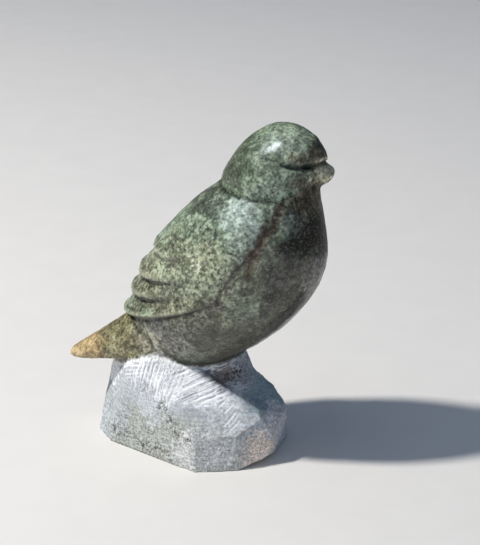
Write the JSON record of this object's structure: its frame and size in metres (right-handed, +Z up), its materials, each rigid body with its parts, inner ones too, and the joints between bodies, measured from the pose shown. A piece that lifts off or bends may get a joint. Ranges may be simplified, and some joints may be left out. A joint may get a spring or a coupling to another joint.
{
  "type": "soapstone bird carving",
  "caption": "Small songbird carved from mottled green soapstone, with stepped wing feathers and a blunt tail, resting on a rough rasped rock of the same stone.",
  "frame": {"origin": "middle of the flat underside of the rock, under the bird's plane of symmetry", "axes": "+Z up out of the underside, +X the way the bird looks, +Y to the bird's left"},
  "size_m": [0.0931, 0.0538, 0.1178],
  "materials": {
    "soapstone": "satin"
  },
  "bodies": {
    "root": {"bird_carving": "soapstone"}
  },
  "joints": []
}
